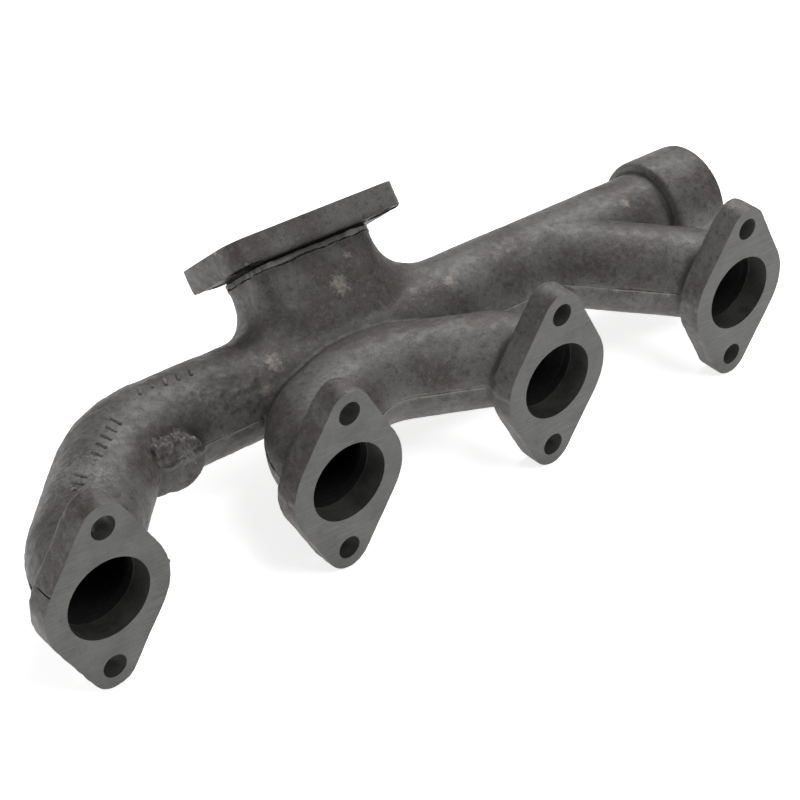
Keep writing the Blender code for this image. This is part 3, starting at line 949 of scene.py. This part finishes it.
def cut_passages(casting):
    """The cored gas ways: four runs and the link from the arch into the left duct."""
    duct_top = -DUCT_DEPTH + DUCT_OVERLAP
    turn_x = -DUCT_X - LEFT_TURN_SHIFT
    left = elbow_corners() + [head_point(turn_x, LOG_SETBACK), face_point(turn_x, 0, duct_top)]
    left_line = centreline(left, (*ELBOW_BENDS, NECK_TURNS[0]))
    right = [
        head_point(SOCKET_END - SOCKET_BORE_DEPTH + PASSAGE_OVERLAP, LOG_SETBACK),
        head_point(NECK_TURN_X, LOG_SETBACK),
        face_point(DUCT_X, 0, duct_top),
    ]
    right_line = centreline(right, NECK_TURNS[1:])
    runs = ((left_line, DUCT_END_RADIUS), (arch_line(), PASSAGE_RADIUS))
    runs += ((runner_line(), PASSAGE_RADIUS), (right_line, DUCT_END_RADIUS))
    tools = []
    for number, (line, end) in enumerate(runs):
        radii = np.linspace(PASSAGE_RADIUS, end, len(line))
        tools.append(sweep(f"passage_{number}", line, radii, 48))
    start = head_point(-DUCT_X, ARCH_CROWN.y - LINK_START)
    end = head_point(-DUCT_X, LOG_SETBACK + LINK_OVERRUN, LINK_RISE)
    tools.append(cylinder("passage_link", start, end, LINK_RADIUS, 48))
    outline = rounded_rectangle(DUCT_HALF, (DUCT_CORNER,) * 4)
    ducts = []
    for side in (-1, 1):
        duct = slab(f"duct_{side}", [outline], DUCT_DEPTH + STOCK)
        duct.data.transform(face_frame(side * DUCT_X, (STOCK - DUCT_DEPTH) / 2))
        ducts.append(duct)
    tools.append(joined(ducts))
    combine(casting, tools, "DIFFERENCE", SCALE_AND_SHADE)


def face_frame(x, rise):
    """Stands XY on the turbocharger flange, X along the engine and Z out of the face."""
    tilt = FACE_NORMAL.angle(UP)
    return Matrix.Translation(face_point(x, 0, rise)) @ Matrix.Rotation(-tilt, 4, "X")


def machine_ports(casting):
    far = FACING_DEPTH
    low = Vector((cad_low.x - far, HEAD_Y - far, cad_low.z - far))
    high = Vector((cad_high.x + far, HEAD_Y, cad_high.z + far))
    plane = box("head_plane", low, high)
    tools = []
    throats = []
    for number, x in enumerate(PORT_X, start=1):
        front = head_point(x, -CLEAR)
        floor = head_point(x, PORT_BORE_DEPTH)
        tools.append(cylinder(f"bore_{number}", front, floor, PORT_BORE_RADIUS))
        for height in BOLT_HEIGHTS:
            start = head_point(x, -CLEAR, height)
            end = head_point(x, FLANGE_THICKNESS + CLEAR, height)
            tools.append(cylinder(f"hole_{number}", start, end, BOLT_HOLE_RADIUS, 48))
        front = head_point(x, PORT_BORE_DEPTH - THROAT_OVERLAP)
        back = head_point(x, PORT_BORE_DEPTH + THROAT_LENGTH)
        throats.append(cylinder(f"throat_{number}", front, back, THROAT_RADIUS))
    combine(casting, [plane, joined(tools)], "DIFFERENCE", MACHINED)
    combine(casting, [joined(throats)], "DIFFERENCE", SCALE_AND_SHADE)


def cut_nick(casting):
    """A scored line across the outer edge of the first flange."""
    half = Vector((NICK_LENGTH, FLANGE_THICKNESS, NICK_WIDTH)) / 2
    nick = box("nick", -half, half)
    turn = Matrix.Rotation(NICK_LEAN, 4, "Z")
    nick.data.transform(Matrix.Translation(NICK_PLACE) @ turn)
    # Its faces take the dark finish: painted shade in the cut
    combine(casting, [nick], "DIFFERENCE", SCALE_AND_SHADE)


def machine_turbo_flange(casting):
    plane = box("turbo_plane", *FACING_BOX)
    plane.data.transform(face_frame(0, 0))
    holes = []
    seats = []
    for number, (x, across) in enumerate(turbo_bolts(), start=1):
        below = face_point(x, across, -PLATE_THICKNESS - SEAT_CLEARANCE)
        seat = face_point(x, across, -PLATE_THICKNESS + SPOT_FACE_DEPTH)
        above = face_point(x, across, CLEAR)
        holes.append(cylinder(f"turbo_hole_{number}", below, above, TURBO_HOLE_RADIUS, 48))
        seats.append(cylinder(f"turbo_seat_{number}", below, seat, SPOT_FACE_RADIUS, 64))
    combine(casting, [plane, joined(holes), joined(seats)], "DIFFERENCE", MACHINED)


def undercut_plate(casting):
    """A clean band round the neck under the plate, ended by a ragged scored line."""
    outer = rounded_rectangle(BAND_OUTSIDE, (BAND_CORNER,) * 4)
    band = slab("band", [outer, neck_outline(BAND_MARGIN)], BAND_HEIGHT)
    band.data.transform(face_frame(0, -PLATE_THICKNESS - BAND_HEIGHT / 2))
    combine(casting, [band], "DIFFERENCE")
    loop = neck_outline(BAND_MARGIN, 8)
    loop += loop[:1]
    line = dense([face_point(point.x, point.y, -PLATE_THICKNESS - GROOVE_DROP) for point in loop])
    places = np.array([tuple(point) for point in line])
    width = UNDERCUT_RADIUS + uneven(places, UNDERCUT_WIDTH)
    # Its faces take the dark finish: painted shade in the groove under the plate
    combine(casting, [sweep("undercut", line, width, 16)], "DIFFERENCE", SCALE_AND_SHADE)
    rise = -PLATE_THICKNESS - BAND_HEIGHT
    line = dense([face_point(point.x, point.y, rise) for point in loop], SCORE_SPACING)
    places = np.array([tuple(point) for point in line])
    line = [point + FACE_NORMAL * lift for point, lift in zip(line, uneven(places, SCORE_WOBBLE))]
    depth = np.clip(SCORE_RADIUS + uneven(places, SCORE_DEPTH), SCORE_LEAST, None)
    # The score's faces take the dark finish too: painted shade in the scored line
    combine(casting, [sweep("score", line, depth, 8)], "DIFFERENCE", SCALE_AND_SHADE)


def machine_socket(casting):
    half = SOCKET_FACING
    low = Vector((SOCKET_END, LOG_AXIS.y - half, LOG_AXIS.z - half))
    plane = box("socket_plane", low, low + Vector((FACING_DEPTH, 2 * half, 2 * half)))
    groove_start = GROOVE_CENTRE - GROOVE_WIDTH / 2
    groove_end = GROOVE_CENTRE + GROOVE_WIDTH / 2
    profile = [
        (SOCKET_END - SOCKET_BORE_DEPTH, 0),
        (SOCKET_END - SOCKET_BORE_DEPTH, SOCKET_BORE_RADIUS),
        (groove_start, SOCKET_BORE_RADIUS),
        (groove_start, GROOVE_RADIUS),
        (groove_end, GROOVE_RADIUS),
        (groove_end, SOCKET_BORE_RADIUS),
        (SOCKET_END - MOUTH_CHAMFER, SOCKET_BORE_RADIUS),
        (SOCKET_END + CLEAR, SOCKET_BORE_RADIUS + MOUTH_CHAMFER + CLEAR),
        (SOCKET_END + CLEAR, 0),
    ]
    combine(casting, [plane, turning("socket_bore", profile, 128)], "DIFFERENCE", MACHINED)


# Materials --------------------------------------------------------------------------------------

class Nodes:
    """Short calls for building one material's node tree."""

    def __init__(self, name):
        self.material = bpy.data.materials.new(name)
        self.material.use_nodes = True
        self.tree = self.material.node_tree
        self.shader = self.tree.nodes["Principled BSDF"]
        place = self.tree.nodes.new("ShaderNodeTexCoord")
        self.place = self.math_vector("MULTIPLY", place.outputs["Object"], (MILLIMETRES,) * 3)

    def set(self, socket, value):
        if isinstance(value, bpy.types.NodeSocket):
            self.tree.links.new(value, socket)
        else:
            socket.default_value = value

    def math_vector(self, operation, first, second):
        node = self.tree.nodes.new("ShaderNodeVectorMath")
        node.operation = operation
        self.set(node.inputs[0], first)
        self.set(node.inputs[1], second)
        return node.outputs["Value" if operation in ("DISTANCE", "DOT_PRODUCT") else "Vector"]

    def math(self, operation, first, second=0.0):
        node = self.tree.nodes.new("ShaderNodeMath")
        node.operation = operation
        self.set(node.inputs[0], first)
        self.set(node.inputs[1], second)
        return node.outputs["Value"]

    def noise(self, size, detail=3.0, roughness=0.55, place=None):
        """Noise whose features are about size millimetres."""
        node = self.tree.nodes.new("ShaderNodeTexNoise")
        self.set(node.inputs["Vector"], self.place if place is None else place)
        self.set(node.inputs["Scale"], 1.0 / size)
        self.set(node.inputs["Detail"], detail)
        self.set(node.inputs["Roughness"], roughness)
        return node.outputs["Fac"]

    def band(self, value, low, high, to_low=0.0, to_high=1.0):
        """A smooth ramp from to_low to to_high while the value goes from low to high."""
        node = self.tree.nodes.new("ShaderNodeMapRange")
        node.interpolation_type = "SMOOTHSTEP"
        node.clamp = True
        self.set(node.inputs["Value"], value)
        self.set(node.inputs["From Min"], low)
        self.set(node.inputs["From Max"], high)
        self.set(node.inputs["To Min"], to_low)
        self.set(node.inputs["To Max"], to_high)
        return node.outputs["Result"]

    def mix(self, amount, first, second):
        node = self.tree.nodes.new("ShaderNodeMix")
        node.data_type = "RGBA"
        self.set(node.inputs["Factor"], amount)
        self.set(node.inputs["A"], (*first, 1) if isinstance(first, tuple) else first)
        self.set(node.inputs["B"], (*second, 1) if isinstance(second, tuple) else second)
        return node.outputs["Result"]

    def over(self, colour, tone, value, low, high, strength):
        """Lay a tone over the colour, to this strength, while the value goes from low to high."""
        return self.mix(self.band(value, low, high, 0, strength), colour, tone)

    def spot(self, centre, radius):
        """1 at a point in the frame, fading to 0 at radius metres."""
        place = tuple(value * MILLIMETRES for value in centre)
        distance = self.math_vector("DISTANCE", self.place, place)
        return self.band(distance, 0, radius * MILLIMETRES, 1, 0)

    def bump(self, height, strength, distance, normal=None):
        node = self.tree.nodes.new("ShaderNodeBump")
        self.set(node.inputs["Height"], height)
        self.set(node.inputs["Strength"], strength)
        self.set(node.inputs["Distance"], distance)
        if normal is not None:
            self.set(node.inputs["Normal"], normal)
        return node.outputs["Normal"]

    def attribute(self, name):
        node = self.tree.nodes.new("ShaderNodeAttribute")
        node.attribute_name = name
        return node.outputs["Fac"]

    def pointiness(self):
        return self.tree.nodes.new("ShaderNodeNewGeometry").outputs["Pointiness"]

    def finish(self, colour, metallic, roughness, normal):
        self.set(self.shader.inputs["Base Color"], colour)
        self.set(self.shader.inputs["Metallic"], metallic)
        self.set(self.shader.inputs["Roughness"], roughness)
        self.set(self.shader.inputs["Normal"], normal)
        return self.material


def parting_flash(nodes):
    """Where the broken pale line of the mould's parting runs, level with the port centres."""
    split = nodes.tree.nodes.new("ShaderNodeSeparateXYZ")
    nodes.set(split.inputs[0], nodes.place)
    height = nodes.math("SUBTRACT", split.outputs["Z"], (LOG_AXIS.z + FLASH_RISE) * MILLIMETRES)
    wander = nodes.math("SUBTRACT", nodes.noise(14, detail=2.0), 0.5)
    wander = nodes.math("MULTIPLY", wander, 3.0)
    from_line = nodes.math("ABSOLUTE", nodes.math("ADD", height, wander))
    broken = nodes.band(nodes.noise(3.5, detail=4.0, roughness=0.7), 0.38, 0.60)
    return nodes.math("MULTIPLY", nodes.band(from_line, 2.4, 0.4), broken)


def cast_iron():
    """Sand-cast iron, blotched and grainy, with pale worn edges under a painted highlight, and
    painted shade in its corners, creases and hollows.
    """
    nodes = Nodes("cast_iron_skin")
    broad = nodes.band(nodes.noise(34, detail=2.0), 0.40, 0.62)
    colour = nodes.mix(broad, SKIN_DARK, SKIN_PALE)
    stain = nodes.noise(13, detail=4.0, roughness=0.65)
    colour = nodes.over(colour, STAIN, stain, 0.48, 0.70, 0.5)
    bloom = nodes.noise(7, detail=5.0, roughness=0.7)
    colour = nodes.over(colour, BLOOM, bloom, 0.56, 0.74, 0.35)
    grain = nodes.noise(1.1, detail=3.0, roughness=0.65)
    colour = nodes.over(colour, GRAIN_PALE, grain, 0.54, 0.72, 0.28)
    colour = nodes.over(colour, GRAIN_DARK, grain, 0.46, 0.30, 0.60)
    mottle = nodes.noise(3.2, detail=3.0, roughness=0.6)
    colour = nodes.over(colour, MOTTLE_PALE, mottle, 0.53, 0.68, 0.42)
    colour = nodes.over(colour, MOTTLE_DARK, mottle, 0.47, 0.32, 0.55)
    break_up = nodes.noise(2.2, detail=4.0, roughness=0.7)
    # Tan and ash scuffs, rust stains, and patches of painted shade in the creases
    for place, radius, tone in SCUFFS_AND_SHADE_PATCHES:
        patch_mask = nodes.math("ADD", nodes.math("MULTIPLY", nodes.spot(place, radius), 0.5), break_up)
        colour = nodes.over(colour, tone, patch_mask, 0.74, 1.06, 0.8)
    flash = nodes.math("MULTIPLY", parting_flash(nodes), 0.6)
    colour = nodes.mix(flash, colour, FLASH_PALE)
    point = nodes.pointiness()
    # Pale worn edges under a painted highlight, on the sharp outer edges where pointiness is high
    colour = nodes.over(colour, EDGE_WEAR_AND_HIGHLIGHT, point, 0.53, 0.60, 0.6)
    # Painted shade in the sharp inner corners, where pointiness is low
    colour = nodes.over(colour, PAINTED_CORNER_SHADE, point, 0.475, 0.40, 0.7)
    # Painted shade in the hollows and creases, deeper where the skin is more hollow
    colour = nodes.over(colour, PAINTED_HOLLOW_SHADE, nodes.attribute("cavity"), 0.10, 0.72, 0.85)
    rough = nodes.band(nodes.noise(5), 0.3, 0.7, 0.46, 0.62)
    normal = nodes.bump(mottle, strength=0.35, distance=0.00060)
    normal = nodes.bump(grain, strength=0.75, distance=0.00020, normal=normal)
    return nodes.finish(colour, 0.12, rough, normal)


def machined_iron():
    """Flat cut faces and bores, with fine lines along the engine."""
    nodes = Nodes("machined_iron")
    cloud = nodes.band(nodes.noise(16, detail=3.0, roughness=0.6), 0.35, 0.68)
    colour = nodes.mix(cloud, CUT_DARK, CUT_PALE)
    blotch = nodes.noise(5, detail=4.0, roughness=0.7)
    colour = nodes.over(colour, CUT_BLOTCH, blotch, 0.52, 0.70, 0.45)
    speck = nodes.noise(0.9, detail=3.0, roughness=0.7)
    colour = nodes.over(colour, CUT_SPECK, speck, 0.53, 0.72, 0.6)
    stretched = nodes.math_vector("MULTIPLY", nodes.place, (0.06, 1.0, 1.6))
    lines = nodes.noise(0.8, detail=2.0, roughness=0.6, place=stretched)
    colour = nodes.over(colour, CUT_LINE, lines, 0.47, 0.72, 0.32)
    normal = nodes.bump(lines, strength=0.35, distance=0.00006)
    normal = nodes.bump(speck, strength=0.35, distance=0.00006, normal=normal)
    return nodes.finish(colour, 0.5, nodes.band(cloud, 0, 1, 0.42, 0.54), normal)


def scale_and_groove_shade_iron():
    """Dark scaled skin inside the gas ways, and painted shade in the grooves under the plate and on
    the first flange.
    """
    nodes = Nodes("passage_scale_and_groove_shade")
    scale = nodes.noise(3.0, detail=4.0, roughness=0.65)
    colour = nodes.mix(nodes.band(scale, 0.4, 0.7), SCALE_AND_SHADE_DARK, SCALE_AND_SHADE_PALE)
    return nodes.finish(colour, 0.1, 0.85, nodes.bump(scale, strength=0.8, distance=0.0005))


def ring_iron():
    """Brighter iron with fine lines from turning."""
    nodes = Nodes("turned_ring_iron")
    stretched = nodes.math_vector("MULTIPLY", nodes.place, (3.0, 0.12, 0.12))
    lines = nodes.noise(0.5, detail=2.0, roughness=0.6, place=stretched)
    cloud = nodes.noise(4, detail=3.0)
    colour = nodes.mix(nodes.band(cloud, 0.35, 0.7), RING_DARK, RING_PALE)
    normal = nodes.bump(lines, strength=0.5, distance=0.00004)
    return nodes.finish(colour, 0.85, nodes.band(cloud, 0.3, 0.7, 0.3, 0.42), normal)


# Assembly ---------------------------------------------------------------------------------------

def build_casting():
    casting = voxel_skin("cast_manifold", stock_mesh(), VOXEL)
    relax(casting.data)
    points, depth = cavity(casting.data)
    roughen(casting.data)
    thin_out(casting, SKIN_FACES)
    casting.data.materials.clear()
    for material in (cast_iron(), machined_iron(), scale_and_groove_shade_iron()):
        casting.data.materials.append(material)
    add_flash(casting)
    add_marks(casting)
    undercut_plate(casting)
    cut_passages(casting)
    cut_nick(casting)
    machine_ports(casting)
    machine_turbo_flange(casting)
    machine_socket(casting)
    store_cavity(casting.data, points, depth)
    casting.data.shade_smooth()
    casting.data.set_sharp_from_angle(angle=SHARP_ANGLE)
    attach(casting, "casting")
    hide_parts("manifold_casting")


def dress_rings():
    material = ring_iron()
    for name in ("seal_ring_inner", "seal_ring_middle", "seal_ring_mouth"):
        for slot in frame["nodes"][name].material_slots:
            slot.material = material


# Studio -----------------------------------------------------------------------------------------

def build_floor():
    def fill(body):
        bmesh.ops.create_grid(body, x_segments=1, y_segments=1, size=FLOOR_HALF)
    floor = solid("studio_floor", fill)
    floor.location.z = cad_low.z - FLOOR_GAP
    material = bpy.data.materials.new("studio_white")
    material.use_nodes = True
    shader = material.node_tree.nodes["Principled BSDF"]
    shader.inputs["Base Color"].default_value = FLOOR_TONE
    shader.inputs["Roughness"].default_value = FLOOR_ROUGHNESS
    shader.inputs["Emission Color"].default_value = WHITE
    shader.inputs["Emission Strength"].default_value = FLOOR_GLOW
    floor.data.materials.append(material)


def softbox(name, place, size, power):
    """A round soft light that faces the object."""
    light = bpy.data.lights.new(name, "AREA")
    light.shape = "DISK"
    light.size = size
    light.energy = power
    item = link(name, light)
    item.location = place
    item.rotation_euler = (-place).to_track_quat("-Z", "Y").to_euler()


def build_studio():
    """White world, dimmer as a light than as the camera sees it, and three soft lights."""
    scene = bpy.context.scene
    world = bpy.data.worlds.new("studio")
    scene.world = world
    world.use_nodes = True
    tree = world.node_tree
    background = tree.nodes["Background"]
    background.inputs["Color"].default_value = WHITE
    rays = tree.nodes.new("ShaderNodeLightPath")
    level = tree.nodes.new("ShaderNodeMapRange")
    level.inputs["To Min"].default_value = WORLD_LIGHT
    level.inputs["To Max"].default_value = WORLD_SEEN
    tree.links.new(rays.outputs["Is Camera Ray"], level.inputs["Value"])
    tree.links.new(level.outputs["Result"], background.inputs["Strength"])
    for details in SOFTBOXES:
        softbox(*details)
    scene.view_settings.view_transform = "Standard"


def build_camera():
    """The photograph's view, from above and in front of the port faces, round towards port 1."""
    camera = bpy.data.cameras.new("studio_camera")
    camera.sensor_width = CAMERA_SENSOR
    camera.lens = CAMERA_LENS
    camera.clip_start = CAMERA_NEAR
    item = link("studio_camera", camera)
    turn = Matrix((CAMERA_RIGHT, CAMERA_UP, -CAMERA_AHEAD)).transposed().to_4x4()
    item.matrix_world = Matrix.Translation(CAMERA_PLACE) @ turn
    bpy.context.scene.camera = item


build_casting()
dress_rings()
build_floor()
build_studio()
build_camera()
